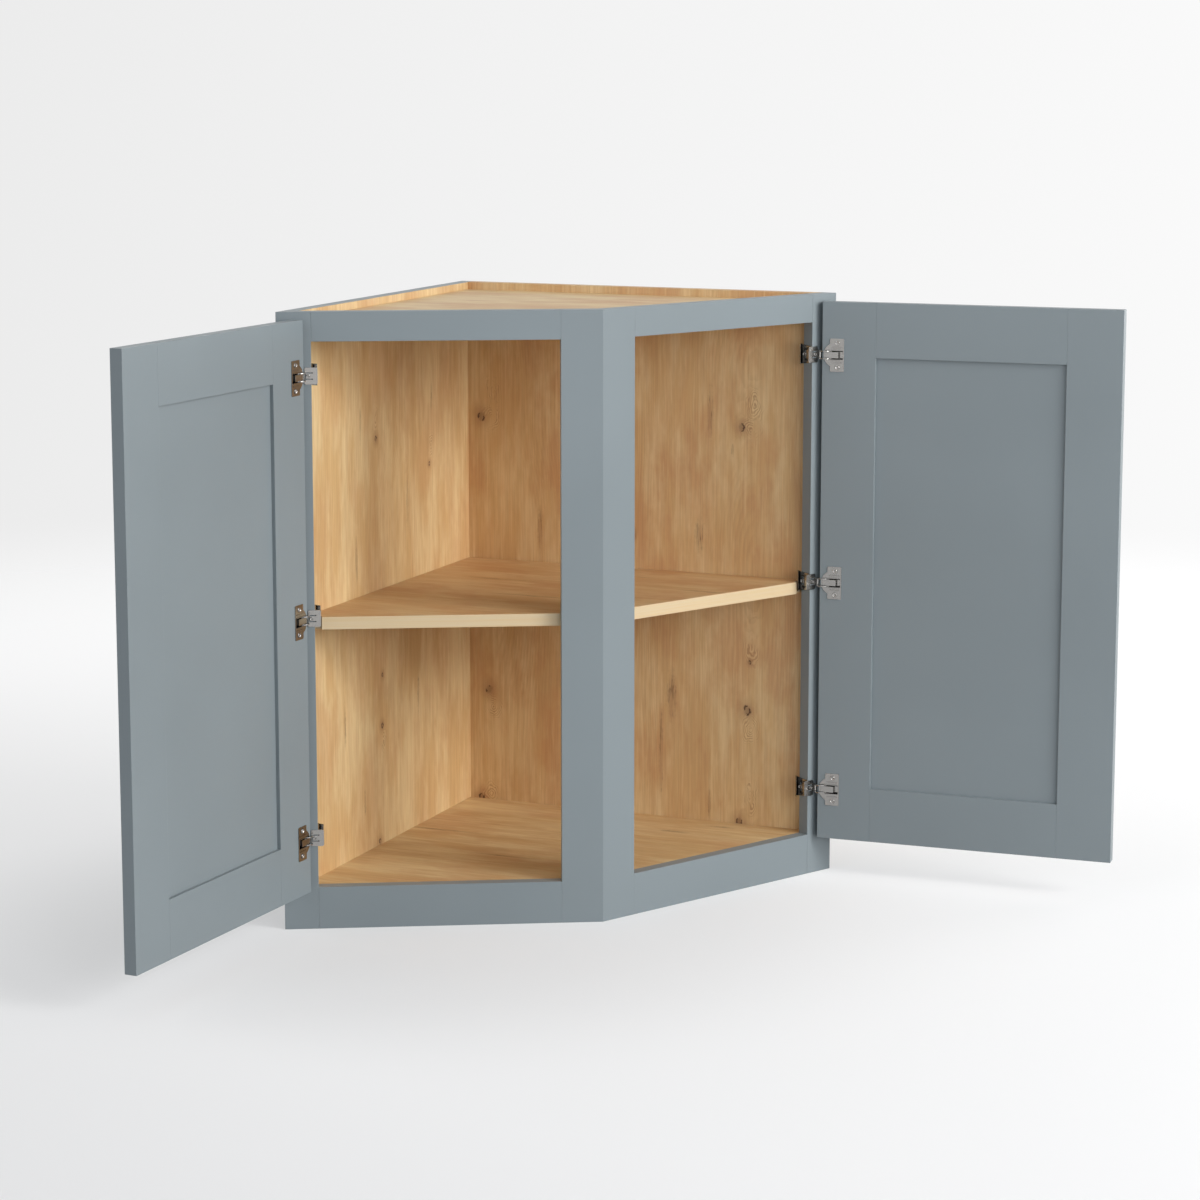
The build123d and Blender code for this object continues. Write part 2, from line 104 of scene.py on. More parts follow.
# Noises of the wood: changes per metre across and along the grain, seed, detail, roughness, and the values of
# the noise that count as its bottom and its top
NOISES = {
    "wander": (5.0, 1.3, 0.0, 2.0, 0.5, 0.2, 0.8),
    "jitter": (60.0, 5.0, 0.0, 3.0, 0.5, 0.2, 0.8),
    "broad": (24.0, 5.5, 3.0, 4.0, 0.6, 0.38, 0.62),
    "reddish": (14.0, 6.5, 7.0, 4.0, 0.62, 0.46, 0.66),
    "medium": (110.0, 9.0, 11.0, 3.0, 0.65, 0.42, 0.68),
    "threads": (470.0, 11.0, 13.0, 3.0, 0.6, 0.34, 0.68),
    "gleam": (230.0, 8.0, 37.0, 3.0, 0.6, 0.55, 0.72),
    "fading": (14.0, 3.6, 31.0, 2.0, 0.5, 0.42, 0.68),
    "warp": (210.0, 170.0, 19.0, 2.0, 0.5, 0.2, 0.8),
    "sway": (70.0, 45.0, 41.0, 2.0, 0.5, 0.2, 0.8),
    "broken": (150.0, 120.0, 23.0, 1.0, 0.5, 0.42, 0.54),
    "patchy": (95.0, 40.0, 43.0, 2.0, 0.5, 0.38, 0.60),
}
CRACKS = (300.0, 16.0, 29.0, 2.0, 0.5)
CRACK_WIDTH = 0.060

# Marks on the boards. Knots: place across and along the grain, radius. Eyes (rings beside the knots): place,
# reach, stretch along the grain. Streaks: place, half width, half length.
BACK_KNOTS = [
    (0.040, 0.669, 0.0062), (0.469, 0.671, 0.0055), (0.051, 0.237, 0.0060),
    (0.481, 0.238, 0.0062), (0.037, 0.063, 0.0055), (0.469, 0.064, 0.0055),
    (0.485, 0.313, 0.0026),
]
BACK_EYES = [
    (0.056, 0.667, 0.022, 1.2), (0.060, 0.702, 0.016, 2.4), (0.484, 0.667, 0.022, 1.2),
    (0.489, 0.704, 0.018, 2.2), (0.058, 0.209, 0.018, 1.4), (0.487, 0.209, 0.020, 1.4),
    (0.053, 0.070, 0.020, 1.2), (0.487, 0.105, 0.018, 2.0), (0.488, 0.345, 0.018, 2.6),
]
BACK_STREAKS = [
    (0.139, 0.498, 0.0040, 0.030), (0.419, 0.690, 0.0045, 0.034), (0.358, 0.252, 0.0075, 0.034),
    (0.420, 0.088, 0.0030, 0.022), (0.402, 0.502, 0.0070, 0.026), (0.341, 0.160, 0.0030, 0.060),
    (0.455, 0.636, 0.0025, 0.008), (0.297, 0.499, 0.0030, 0.010),
]
SIDE_KNOTS = [
    (-0.341, 0.670, 0.0042), (-0.330, 0.240, 0.0040), (-0.327, 0.316, 0.0032),
    (-0.161, 0.611, 0.0030), (-0.341, 0.066, 0.0040),
]
SIDE_EYES = [
    (-0.341, 0.700, 0.012, 2.4), (-0.325, 0.215, 0.014, 2.0), (-0.155, 0.640, 0.012, 2.2),
]
SIDE_STREAKS = [
    (-0.152, 0.712, 0.0030, 0.020), (-0.238, 0.562, 0.0040, 0.030), (-0.391, 0.695, 0.0025, 0.026),
    (-0.408, 0.499, 0.0035, 0.030), (-0.451, 0.263, 0.0035, 0.030), (-0.206, 0.267, 0.0035, 0.026),
    (-0.389, 0.136, 0.0030, 0.020),
]
SHELF_STREAKS = [
    (-0.172, 0.472, 0.0050, 0.034), (-0.186, 0.143, 0.0040, 0.050), (-0.300, 0.250, 0.0035, 0.060),
    (-0.090, 0.300, 0.0035, 0.060),
]
FLOOR_STREAKS = [
    (-0.101, 0.397, 0.0060, 0.022), (-0.050, 0.452, 0.0050, 0.018), (-0.225, 0.060, 0.0040, 0.060),
    (-0.330, 0.220, 0.0035, 0.050), (-0.160, 0.300, 0.0035, 0.060),
]

# Boards: the axes across and along the grain, seed, heart line, least and most redness, marks, and whether
# upright faces have a pale edge band
# The reddish patches are the wood's own; the back board's and the shelf's higher least and most redness is
# painted shade, where those boards lie in shade.
BOARDS = {
    "side_board": ("yz", 3.7, -0.255, (0.0, 0.40), (SIDE_KNOTS, SIDE_EYES, SIDE_STREAKS), False),
    "back_board": ("xz", 1.3, 0.057, (0.18, 0.68), (BACK_KNOTS, BACK_EYES, BACK_STREAKS), False),
    "raw_wood": ("yx", 8.1, 0.10, (0.0, 0.50), ([], [], []), False),
    "shelf_wood": ("yx", 5.9, -0.30, (0.36, 0.86), ([], [], SHELF_STREAKS), True),
    "floor_wood": ("yx", 2.4, -0.17, (0.02, 0.50), ([], [], FLOOR_STREAKS), True),
    "top_wood": ("yx", 6.6, -0.10, (0.0, 0.50), ([], [], []), True),
}

# Screws: radius and height of the head, radius of the shank. TURN_STEP is how far each recess is turned from
# the one before, in radians.
WOOD_SCREW = (0.0035, 0.0010, 0.00175)
ADJUSTER_SCREW = (0.0025, 0.0009, 0.0015)
TURN_STEP = 0.7

# Screw heads: steps round, rows from the middle to the rim, height of the rim as a share of the head's, power
# of the dome's curve, and the cross recess, whose reach and slots are shares of the head's radius and whose
# depth is a share of the head's height
HEAD_STEPS = 48
HEAD_ROWS = 16
HEAD_RIM = 0.55
DOME_POWER = 9
RECESS_REACH = 0.75
RECESS_SLOT = 0.38
RECESS_DEPTH = 0.85

# The studio. LOOK_RIGHT is the direction in plan that runs to the right in the photograph. The floor fades
# out between the distances of FLOOR_ENDS. What is seen of it is lifted by FLOOR_LIFT, from its first value to
# its second between the distances of FLOOR_LIFT_ENDS from a point FLOOR_FRONT before the rear corner, and by
# FLOOR_RISE for each metre to the back and to the right.
# The lower lift near the front of the cabinet is a painted shadow, and the rise to the right is painted
# light.
LOOK_RIGHT = (0.924, 0.382)
LIT_POINT = Vector((0.35, -0.35, 0.40))
FLOOR_RADIUS = 40.0
FLOOR_COLOUR = (0.50, 0.50, 0.50)
FLOOR_ENDS = (1.5, 3.6)
FLOOR_FRONT = 0.45
FLOOR_LIFT = (0.42, 0.52)
FLOOR_LIFT_ENDS = (0.25, 0.80)
FLOOR_RISE = (0.11, 0.015)
BACKDROP_LEFT, BACKDROP_RIGHT = 0.82, 0.97
WORLD_GLOW = 0.13
WORLD_TINT = (0.95, 0.97, 1.0)

# Lamps: bearing from +X and angle above the floor in degrees, distance and width in metres, watts, colour
NEUTRAL = (1.0, 1.0, 1.0)
LAMPS = {
    "key": (-5.0, 22.0, 4.5, 1.3, 91.0, NEUTRAL),
    "key_low": (-24.0, 8.0, 3.4, 1.3, 29.0, NEUTRAL),
    "key_high": (-20.0, 32.0, 4.5, 1.3, 24.0, NEUTRAL),
    "key_fill": (5.0, 20.0, 4.5, 3.0, 22.0, NEUTRAL),
    "front": (-50.0, 15.0, 4.5, 1.3, 33.0, (0.97, 0.99, 1.06)),
    "front_left": (-110.0, 25.0, 4.5, 2.8, 36.0, (0.96, 0.99, 1.06)),
    "back_right": (60.0, 20.0, 4.5, 3.0, 56.0, NEUTRAL),
    "back_left": (195.0, 22.0, 4.5, 3.0, 48.0, NEUTRAL),
    "overhead": (0.0, 89.0, 3.4, 3.4, 20.0, NEUTRAL),
}

# The photograph's camera: place, degrees below level, degrees of turn, and its lens on a 36 mm wide sensor
CAMERA_PLACE = (2.0463, -4.4087, 1.2461)
CAMERA_TILT = 8.8754
CAMERA_TURN = 22.3719
CAMERA_LENS = 93.834
CAMERA_SENSOR = 36.0
CAMERA_SHIFT = -0.06


class Nodes:
    """The node tree of a material or world, with short ways to add and link nodes."""

    def __init__(self, owner, output):
        owner.use_nodes = True
        self.owner = owner
        self.tree = owner.node_tree
        self.tree.nodes.clear()
        self.output = self.tree.nodes.new(output)

    def add(self, kind, settings=None, **inputs):
        """A node with its settings, and its sockets linked or set by name."""
        node = self.tree.nodes.new(kind)
        for key, value in (settings or {}).items():
            setattr(node, key, value)
        for key, value in inputs.items():
            self.feed(node.inputs[key.replace("_", " ")], value)
        return node

    def feed(self, socket, value):
        if isinstance(value, bpy.types.NodeSocket):
            self.tree.links.new(value, socket)
        elif value is not None:
            if isinstance(value, tuple) and len(value) == 3 and len(socket.default_value) == 4:
                value = value + (1.0,)
            socket.default_value = value

    def in_order(self, kind, settings, *values):
        """A node whose sockets are linked or set in their order."""
        node = self.add(kind, settings)
        for socket, value in zip(node.inputs, values):
            self.feed(socket, value)
        return node

    def math(self, operation, *values):
        return self.in_order("ShaderNodeMath", {"operation": operation}, *values).outputs[0]

    def plus(self, first, second):
        return self.math("ADD", first, second)

    def minus(self, first, second):
        return self.math("SUBTRACT", first, second)

    def times(self, first, second):
        return self.math("MULTIPLY", first, second)

    def largest(self, first, *others):
        for value in others:
            first = self.math("MAXIMUM", first, value)
        return first

    def hypotenuse(self, first, second):
        return self.math("SQRT", self.plus(self.times(first, first), self.times(second, second)))

    def combine(self, x, y, z):
        return self.add("ShaderNodeCombineXYZ", X=x, Y=y, Z=z).outputs[0]

    def separate(self, vector):
        return self.add("ShaderNodeSeparateXYZ", Vector=vector).outputs

    def noise(self, vector, scale, detail=2.0, roughness=0.5):
        node = self.add("ShaderNodeTexNoise", Vector=vector, Scale=scale, Detail=detail, Roughness=roughness)
        return node.outputs[0]

    def span(self, value, low, high, to_low=0.0, to_high=1.0, smooth=True):
        """Carry a value from one span to another, held at the ends."""
        kind = {"interpolation_type": "SMOOTHSTEP" if smooth else "LINEAR"}
        return self.in_order("ShaderNodeMapRange", kind, value, low, high, to_low, to_high).outputs[0]

    def mix(self, share, first, second):
        """A colour between two colours."""
        node = self.add("ShaderNodeMix", {"data_type": "RGBA"})
        colours = [socket for socket in node.inputs if socket.type == "RGBA"]
        self.feed(node.inputs[0], share)
        self.feed(colours[0], first)
        self.feed(colours[1], second)
        return next(socket for socket in node.outputs if socket.type == "RGBA")

    def blend(self, share, first, second):
        """A shader between two shaders."""
        return self.in_order("ShaderNodeMixShader", {}, share, first, second).outputs[0]

    def position(self):
        """The place in the cabinet's frame, in metres."""
        return self.add("ShaderNodeTexCoord").outputs["Object"]

    def bump(self, height, distance, strength, normal):
        node = self.add("ShaderNodeBump", Height=height, Distance=distance, Strength=strength, Normal=normal)
        return node.outputs[0]

    def rounded(self, radius):
        """Normals that shade an edge as if it were rounded."""
        return self.add("ShaderNodeBevel", {"samples": 4}, Radius=radius).outputs[0]

    def seen(self):
        """1 for the rays that see the studio: from the camera, off metal and through glass. 0 for light."""
        rays = self.add("ShaderNodeLightPath").outputs
        return self.largest(rays["Is Camera Ray"], rays["Is Glossy Ray"], rays["Is Transmission Ray"])

    def surface(self, socket):
        self.feed(self.output.inputs["Surface"], socket)
        return self.owner


def new_material(name):
    return Nodes(bpy.data.materials.new(name), "ShaderNodeOutputMaterial")


def scaled_colour(colour, share):
    return tuple(share * channel for channel in colour)


def paint_shader(shader):
    """Satin lacquer: an even blue-grey with the faint ripple of a sprayed coat."""
    place = shader.position()
    cloud = shader.span(shader.noise(place, 3.0), 0.3, 0.7)
    colour = shader.mix(cloud, scaled_colour(PAINT_COLOUR, 0.97), scaled_colour(PAINT_COLOUR, 1.03))
    satin = shader.span(shader.noise(place, 9.0, 3.0), 0.3, 0.7, *PAINT_ROUGHNESS)
    ripple = shader.bump(shader.noise(place, 260.0, 3.0), PAINT_RELIEF, 0.35, shader.rounded(PAINT_EDGE))
    return shader.add("ShaderNodeBsdfPrincipled", Base_Color=colour, Roughness=satin, Normal=ripple,
                      Specular_IOR_Level=PAINT_SPECULAR).outputs[0]


def paint():
    shader = new_material("paint")
    return shader.surface(paint_shader(shader))


class Grain:
    """The grain of one board: its noises, and distances on it."""

    def __init__(self, shader, across, along, seed):
        self.shader = shader
        self.across = across
        self.along = along
        self.seed = seed
        self.warp = self.swing("warp", 1.0)

    def raw(self, wide, long, seed, detail, roughness):
        """A noise stretched along the grain."""
        point = self.shader.combine(self.shader.times(self.across, wide), self.shader.times(self.along, long),
                                    self.seed + seed)
        return self.shader.noise(point, 1.0, detail, roughness)

    def patch(self, name):
        """A noise as smooth patches from 0 to 1."""
        *settings, bottom, top = NOISES[name]
        return self.shader.span(self.raw(*settings), bottom, top)

    def swing(self, name, reach):
        """A noise that swings to both sides of zero."""
        *settings, bottom, top = NOISES[name]
        return self.shader.span(self.raw(*settings), bottom, top, -reach, reach, smooth=False)

    def cracks(self):
        """Thin lines where a noise crosses its middle value."""
        off_middle = self.shader.math("ABSOLUTE", self.shader.minus(self.raw(*CRACKS), 0.5))
        return self.shader.span(off_middle, 0.0, CRACK_WIDTH, 1.0, 0.0)

    def distance(self, place, stretch):
        """Distance from a spot on the board, counted shorter along the grain."""
        side = self.shader.minus(self.across, place[0])
        length = self.shader.math("DIVIDE", self.shader.minus(self.along, place[1]), stretch)
        return self.shader.hypotenuse(side, length)

    def rough_distance(self, place, stretch, roughness):
        return self.shader.plus(self.distance(place, stretch), self.shader.times(self.warp, roughness))


def heart_field(shader, grain, heart):
    """Distance that the growth rings are counted on. Away from the heart line they run nearly straight, and
    near it they arch."""
    shifted = shader.plus(shader.minus(grain.across, heart), grain.swing("wander", 0.020))
    from_heart = shader.math("PINGPONG", shifted, HEART_SPACING / 2)
    taper = shader.noise(shader.combine(grain.seed, shader.times(grain.along, 3.6), 0.0), 1.0, 1.0)
    height = shader.span(taper, 0.25, 0.75, 0.003, 0.060, smooth=False)
    return shader.plus(shader.hypotenuse(from_heart, height), grain.swing("jitter", 0.0022))


def knot_marks(shader, grain, knots):
    """Small cracked knots: a core with a broken hook round it, and a brown halo."""
    dark, halo = 0.0, 0.0
    broken = grain.patch("broken") if knots else 0.0
    for *place, radius in knots:
        distance = grain.rough_distance(place, KNOT_STRETCH, 0.30 * radius)
        hook = shader.times(shader.span(distance, 0.35 * radius, 0.55 * radius),
                            shader.span(distance, 0.75 * radius, 1.15 * radius, 1.0, 0.0))
        core = shader.span(distance, 0.3 * radius, 1.3 * radius, 0.40, 0.0)
        dark = shader.largest(dark, core, shader.times(hook, broken))
        halo = shader.largest(halo, shader.span(distance, 0.5 * radius, 3.6 * radius, 0.42, 0.0))
    return dark, halo


def streak_marks(shader, grain, streaks):
    """Brown streaks along the grain, with fine cracks in them."""
    dark, halo = 0.0, 0.0
    cracks = grain.cracks() if streaks else 0.0
    for *place, width, length in streaks:
        distance = grain.rough_distance(place, length / width, 0.3 * width)
        near = shader.span(distance, 0.2 * width, 1.5 * width, 1.0, 0.0)
        dark = shader.largest(dark, shader.times(shader.times(near, cracks), 0.60))
        halo = shader.largest(halo, shader.times(near, 0.30))
    return dark, halo


def eye_marks(shader, grain, eyes, field):
    """Eyes: close rings beside the knots, and the growth rings that bend round them."""
    dim, bright = 0.0, 0.0
    if eyes:
        patchy, sway = grain.patch("patchy"), grain.swing("sway", 0.0045)
    for *place, reach, stretch in eyes:
        distance = shader.plus(grain.distance(place, stretch), sway)
        turns = shader.math("SINE", shader.times(distance, 2 * math.pi / EYE_SPACING))
        near = shader.times(shader.span(distance, 0.35 * reach, reach, 1.0, 0.0), patchy)
        dim = shader.largest(dim, shader.times(near, shader.span(turns, 0.0, 0.9)))
        bright = shader.largest(bright, shader.times(near, shader.span(turns, -0.9, 0.0, 1.0, 0.0)))
        bend = shader.times(shader.span(distance, 0.0, 1.6 * reach, 1.0, 0.0), 2.5 * RING_SPACING)
        field = shader.plus(field, bend)
    return dim, bright, field


def ring_lines(shader, grain, field):
    """Growth rings that darken slowly and end sharply, and fade away in places."""
    ring = shader.math("FRACT", shader.math("DIVIDE", field, RING_SPACING))
    line = shader.times(shader.span(ring, 0.20, 0.88), shader.span(ring, 0.88, 1.0, 1.0, 0.0))
    return shader.times(line, grain.patch("fading"))


def wood_colour(shader, grain, heart, redness, marks):
    """Knotty veneer: pale and reddish bands along the grain, faint growth rings, small cracked knots. The
    reddish bands are the wood's own; on the back board and the shelf more redness is painted shade.
    """
    knots, eyes, streaks = marks
    dim, bright, field = eye_marks(shader, grain, eyes, heart_field(shader, grain, heart))
    knot_dark, knot_halo = knot_marks(shader, grain, knots)
    streak_dark, streak_halo = streak_marks(shader, grain, streaks)
    threads = grain.patch("threads")
    layers = [
        # Reddish patches: the wood's own, with the higher redness of the back board and the shelf as painted
        # shade
        (shader.span(grain.patch("reddish"), 0.0, 1.0, *redness, smooth=False), WOOD_RED),
        (shader.times(grain.patch("medium"), MEDIUM_SHARE), WOOD_RED),
        (shader.times(ring_lines(shader, grain, field), RING_SHARE), WOOD_BROWN),
        (shader.times(threads, THREAD_SHARE), WOOD_BROWN),
        (shader.times(grain.patch("gleam"), GLEAM_SHARE), WOOD_PALE),
        (shader.largest(knot_halo, streak_halo), WOOD_BROWN),
        (shader.times(dim, EYE_DIM_SHARE), WOOD_BROWN),
        (shader.times(bright, EYE_BRIGHT_SHARE), WOOD_PALE),
        (shader.largest(knot_dark, streak_dark), WOOD_KNOT),
    ]
    colour = shader.mix(grain.patch("broad"), WOOD_PALE, WOOD_GOLD)
    for share, layer in layers:
        colour = shader.mix(share, colour, layer)
    return colour, threads


def edge_band(shader, x, y, z):
    """Pale band on upright edges, with its grain along the edge."""
    lengthwise = shader.combine(shader.times(x, 6.0), shader.times(y, 6.0), shader.times(z, 500.0))
    share = shader.span(shader.noise(lengthwise, 1.0, 3.0), 0.3, 0.7, 0.0, 0.35)
    return shader.mix(share, BAND_PALE, WOOD_GOLD)


def wood_shader(shader, board):
    """Clear-lacquered wood of one of the boards."""
    axes, seed, heart, redness, marks, banded = BOARDS[board]
    x, y, z = shader.separate(shader.position())
    across, along = ({"x": x, "y": y, "z": z}[axis] for axis in axes)
    colour, threads = wood_colour(shader, Grain(shader, across, along, seed), heart, redness, marks)
    if banded:
        facing = shader.separate(shader.add("ShaderNodeNewGeometry").outputs["Normal"])
        upright = shader.span(shader.math("ABSOLUTE", facing[2]), 0.3, 0.7, 1.0, 0.0)
        colour = shader.mix(upright, colour, edge_band(shader, x, y, z))
    normal = shader.bump(threads, WOOD_RELIEF, 0.4, shader.rounded(WOOD_EDGE))
    return shader.add("ShaderNodeBsdfPrincipled", Base_Color=colour, Roughness=WOOD_ROUGHNESS,
                      Normal=normal).outputs[0]


def wood(board):
    shader = new_material(board)
    return shader.surface(wood_shader(shader, board))


def side_wood():
    """The side board: wood inside, lacquered on its outer face and on its rims."""
    shader = new_material("side_board")
    inside = wood_shader(shader, "side_board")
    x, _, z = shader.separate(shader.position())
    skin = shader.math("LESS_THAN", x, PAINT_SKIN)
    rim = shader.math("GREATER_THAN", z, CABINET_HEIGHT - PAINT_SKIN)
    foot = shader.math("LESS_THAN", z, PAINT_SKIN)
    return shader.surface(shader.blend(shader.largest(skin, rim, foot), inside, paint_shader(shader)))


def nickel():
    """Nickel-plated steel, polished, with faint marks from pressing, and painted shade darkening its
    crevices.
    """
    shader = new_material("nickel")
    place = shader.position()
    polish = shader.span(shader.noise(place, 900.0, 3.0, 0.6), 0.3, 0.7, *NICKEL_ROUGHNESS)
    # Painted shade: the colour darkens where ambient occlusion finds crevices and recesses.
    openness = shader.add("ShaderNodeAmbientOcclusion", {"samples": 6}, Distance=CREVICE_SHADE_REACH).outputs["AO"]
    light = shader.span(openness, 0.35, 0.90)
    colour = shader.mix(light, scaled_colour(NICKEL_COLOUR, CREVICE_SHADE_SHARE), NICKEL_COLOUR)
    normal = shader.bump(shader.noise(place, 350.0, 2.0), NICKEL_RELIEF, 0.4, shader.rounded(NICKEL_EDGE))
    return shader.surface(shader.add("ShaderNodeBsdfPrincipled", Base_Color=colour, Metallic=1.0,
                                     Roughness=polish, Normal=normal).outputs[0])


def finish_nodes():
    """Give each CAD node the finish of its material slot, and each level board a grain of its own."""
    finishes = {
        "paint": paint(),
        "side_board": side_wood(),
        "back_board": wood("back_board"),
        "raw_wood": wood("raw_wood"),
        "nickel": nickel(),
    }
    level = {"shelf": wood("shelf_wood"), "bottom_panel": wood("floor_wood"), "top_panel": wood("top_wood")}
    for part in frame["record"]["subparts"]:
        node = frame["nodes"][part["node"]]
        node.data.materials.clear()
        node.data.materials.append(level.get(part["node"]) or finishes[part["material_slot"]])


def round_edges():
    """Small rounded edges on the boards, as sanding leaves them."""
    for part in frame["record"]["subparts"]:
        if part["material_slot"] == "nickel":
            continue
        node = frame["nodes"][part["node"]]
        weld = node.modifiers.new("weld", "WELD")
        weld.merge_threshold = 0.000001
        bevel = node.modifiers.new("edges", "BEVEL")
        bevel.width = EDGE_ROUNDING
        bevel.segments = 2
        bevel.limit_method = "ANGLE"
        bevel.angle_limit = SMOOTH_BELOW


def mirrored(direction):
    """The same direction on the other side of the cabinet."""
    return Vector((-direction.y, -direction.x, direction.z))


def islands(node):
    """Corner points of each separate solid of a CAD node."""
    mesh = bmesh.new()
    mesh.from_mesh(frame["nodes"][node].data)
    bmesh.ops.remove_doubles(mesh, verts=mesh.verts, dist=1e-6)
    seen = set()
    groups = []
    for start in mesh.verts:
        if start in seen:
            continue
        stack = [start]
        seen.add(start)
        points = []
        while stack:
            vertex = stack.pop()
            points.append(vertex.co.copy())
            for edge in vertex.link_edges:
                other = edge.other_vert(vertex)
                if other not in seen:
                    seen.add(other)
                    stack.append(other)
        groups.append(points)
    mesh.free()
    return groups


def recess_depth(x, y, reach, slot, depth):
    """Depth of a screw's cross recess at a point of the head. Its slots have sloping walls and ends."""
    arm = 0.0
    for wide, length in ((abs(x), abs(y)), (abs(y), abs(x))):
        side = max(0.0, 1.0 - max(0.0, wide - 0.6 * slot) / (0.5 * slot))
        end = max(0.0, 1.0 - max(0.0, length - 0.45 * reach) / (0.55 * reach))
        arm = max(arm, side * end)
    return depth * min(1.0, 1.6 * arm)


def circle(mesh, radius, height):
    """Vertices round the screw's axis, where height is a number or says the height at a point."""
    ring = []
    for step in range(HEAD_STEPS):
        angle = 2 * math.pi * step / HEAD_STEPS
        x, y = radius * math.cos(angle), radius * math.sin(angle)
        ring.append(mesh.verts.new((x, y, height(x, y) if callable(height) else height)))
    return ring


def screw_mesh(name, head_radius, head_height, shank_radius, length):
    """Pan-head screw along -Z with its seat at z=0: domed head, cross recess and shank."""
    def head_top(x, y):
        share = math.hypot(x, y) / head_radius
        curve = math.sqrt(max(0.0, 1.0 - share ** DOME_POWER))
        dome = head_height * (HEAD_RIM + (1.0 - HEAD_RIM) * curve)
        return dome - recess_depth(x, y, RECESS_REACH * head_radius, RECESS_SLOT * head_radius,
                                   RECESS_DEPTH * head_height)

    mesh = bmesh.new()
    top = mesh.verts.new((0.0, 0.0, head_top(0.0, 0.0)))
    rings = [circle(mesh, head_radius * row / HEAD_ROWS, head_top) for row in range(1, HEAD_ROWS + 1)]
    for radius, height in ((head_radius, 0.0), (shank_radius, 0.0), (shank_radius, -length)):
        rings.append(circle(mesh, radius, height))
    end = mesh.verts.new((0.0, 0.0, -length))
    for step in range(HEAD_STEPS):
        following = (step + 1) % HEAD_STEPS
        mesh.faces.new((top, rings[0][step], rings[0][following]))
        mesh.faces.new((end, rings[-1][following], rings[-1][step]))
        for inner, outer in zip(rings, rings[1:]):
            mesh.faces.new((inner[step], outer[step], outer[following], inner[following]))
    data = bpy.data.meshes.new(name)
    mesh.to_mesh(data)
    mesh.free()
    data.polygons.foreach_set("use_smooth", [True] * len(data.polygons))
    data.set_sharp_from_angle(angle=SMOOTH_BELOW)
    return data


def dress_screws(node, body, outward, sizes, turn):
    """Screws with driven heads in place of a group of plain ones."""
    head_radius, head_height, shank_radius = sizes
    facing = outward.to_track_quat("Z", "Y").to_matrix().to_4x4()
    for number, points in enumerate(islands(node)):
        tip = max(point.dot(outward) for point in points)
        end = min(point.dot(outward) for point in points)
        low = Vector([min(point[i] for point in points) for i in range(3)])
        high = Vector([max(point[i] for point in points) for i in range(3)])
        centre = (low + high) / 2
        seat = centre + outward * (tip - head_height - centre.dot(outward))
        data = screw_mesh(f"{node}_driven_{number}", head_radius, head_height, shank_radius,
                          tip - end - head_height)
        data.materials.append(frame["nodes"][node].data.materials[0])
        screw = bpy.data.objects.new(data.name, data)
        bpy.context.scene.collection.objects.link(screw)
        turned = Matrix.Rotation(turn + TURN_STEP * number, 4, "Z")
        screw.matrix_world = Matrix.Translation(seat) @ facing @ turned
        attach(screw, body)
        if number == 0:
            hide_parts(node)


def dress_all_screws():
    """Heads face off the open door's back, along the frame and out of it. The right mirrors the left."""
    along_face = Vector((math.cos(FACE_ANGLE), math.sin(FACE_ANGLE), 0.0))
    out_of_face = Vector((math.sin(FACE_ANGLE), -math.cos(FACE_ANGLE), 0.0))
    door_back = Vector((-math.sin(FACE_ANGLE - DOOR_TURN), math.cos(FACE_ANGLE - DOOR_TURN), 0.0))
    for side, turn in (("left", 0.3), ("right", 0.9)):
        if side == "right":
            along_face, out_of_face, door_back = map(mirrored, (along_face, out_of_face, door_back))
        dress_screws(side + "_cup_screws", side + "_door", door_back, WOOD_SCREW, turn)
        dress_screws(side + "_arm_screws", "cabinet", along_face, WOOD_SCREW, turn + 0.5)
        dress_screws(side + "_adjuster_screws", "cabinet", out_of_face, ADJUSTER_SCREW, turn + 1.1)


def floor():
    """Wide pale floor that runs out into the white of the background. What is seen of it is lifted most where
    the photograph is brightest: away from the front of the cabinet, to the back and to the right. The lower
    lift near the front of the cabinet is a painted shadow, and the rise to the right is painted light."""
    bpy.ops.mesh.primitive_circle_add(vertices=96, radius=FLOOR_RADIUS, fill_type="NGON",
                                      location=(0.0, 0.0, 0.0))
    ground = bpy.context.object
    ground.name = "studio_floor"
    shader = new_material("studio_floor")
    x, y, _ = shader.separate(shader.position())
    right = shader.plus(shader.times(x, LOOK_RIGHT[0]), shader.times(y, LOOK_RIGHT[1]))
    back = shader.minus(shader.times(y, LOOK_RIGHT[0]), shader.times(x, LOOK_RIGHT[1]))
    from_front = shader.hypotenuse(right, shader.plus(back, FLOOR_FRONT))
    slope = shader.plus(shader.times(back, FLOOR_RISE[0]), shader.times(right, FLOOR_RISE[1]))
    # Painted shadow near the front of the cabinet, and painted light rising to the right
    lift = shader.plus(shader.span(from_front, *FLOOR_LIFT_ENDS, *FLOOR_LIFT), slope)
    matt = shader.add("ShaderNodeBsdfDiffuse", Color=FLOOR_COLOUR).outputs[0]
    seen_lift = shader.times(shader.seen(), lift)
    glow = shader.add("ShaderNodeEmission", Color=NEUTRAL, Strength=seen_lift).outputs[0]
    lit = shader.in_order("ShaderNodeAddShader", {}, matt, glow).outputs[0]
    clear = shader.add("ShaderNodeBsdfTransparent").outputs[0]
    ending = shader.span(shader.hypotenuse(x, y), *FLOOR_ENDS)
    ground.data.materials.append(shader.surface(shader.blend(ending, lit, clear)))


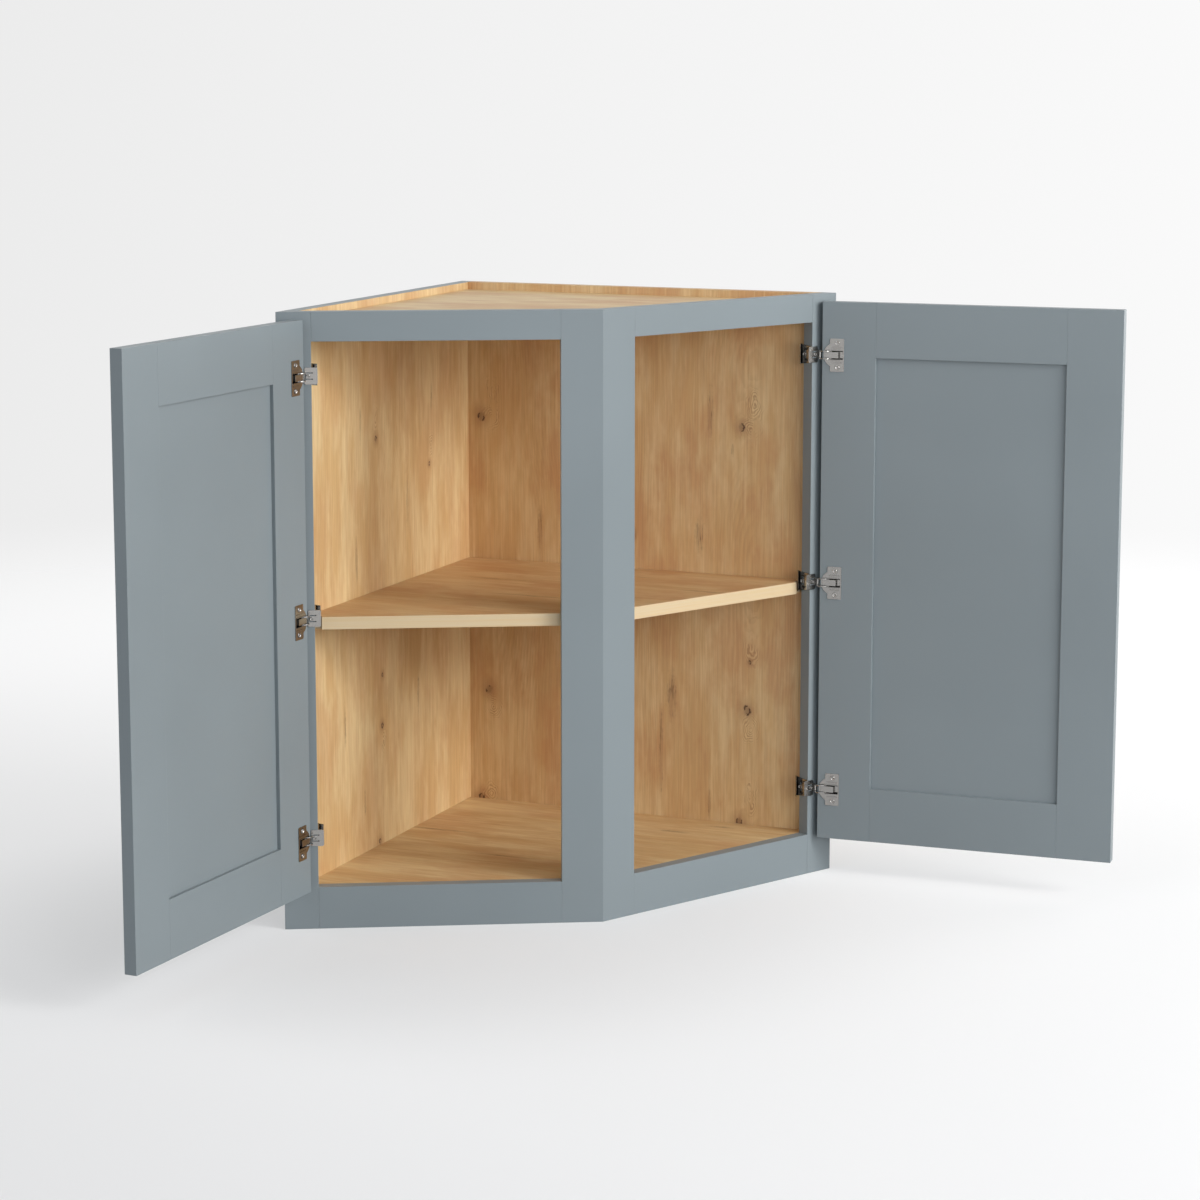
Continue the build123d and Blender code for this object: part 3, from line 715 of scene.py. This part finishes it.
def world():
    """Backdrop that is seen, a little brighter on the key's side, and a faint glow as light."""
    shader = Nodes(bpy.data.worlds.new("studio"), "ShaderNodeOutputWorld")
    outward = shader.add("ShaderNodeTexCoord").outputs["Generated"]
    dot = {"operation": "DOT_PRODUCT"}
    across = shader.in_order("ShaderNodeVectorMath", dot, outward, (*LOOK_RIGHT, 0.0)).outputs["Value"]
    shade = shader.span(across, -0.25, 0.25, BACKDROP_LEFT, BACKDROP_RIGHT, smooth=False)
    glow = shader.add("ShaderNodeBackground", Color=WORLD_TINT, Strength=WORLD_GLOW).outputs[0]
    backdrop = shader.add("ShaderNodeBackground", Color=shade, Strength=1.0).outputs[0]
    bpy.context.scene.world = shader.surface(shader.blend(shader.seen(), glow, backdrop))


def softbox(name, bearing, rise, distance, width, power, colour):
    """Square lamp that faces the cabinet, at a bearing from +X and an angle above the floor."""
    lamp = bpy.data.lights.new(name, "AREA")
    lamp.shape = "RECTANGLE"
    lamp.size = lamp.size_y = width
    lamp.energy = power
    lamp.color = colour
    holder = bpy.data.objects.new(name, lamp)
    bpy.context.scene.collection.objects.link(holder)
    bearing, rise = math.radians(bearing), math.radians(rise)
    outward = Vector((math.cos(bearing) * math.cos(rise), math.sin(bearing) * math.cos(rise), math.sin(rise)))
    holder.location = LIT_POINT + distance * outward
    holder.rotation_euler = (-outward).to_track_quat("-Z", "Y").to_euler()
    holder.visible_camera = False


def camera():
    lens = bpy.data.cameras.new("camera")
    lens.lens = CAMERA_LENS
    lens.sensor_width = CAMERA_SENSOR
    lens.shift_y = CAMERA_SHIFT
    lens.clip_start, lens.clip_end = 0.05, 100.0
    holder = bpy.data.objects.new("camera", lens)
    bpy.context.scene.collection.objects.link(holder)
    holder.location = CAMERA_PLACE
    holder.rotation_euler = (math.radians(90.0 - CAMERA_TILT), 0.0, math.radians(CAMERA_TURN))
    bpy.context.scene.camera = holder


finish_nodes()
dress_all_screws()
round_edges()
floor()
world()
for name, settings in LAMPS.items():
    softbox(name, *settings)
camera()
bpy.context.scene.view_settings.view_transform = "Standard"
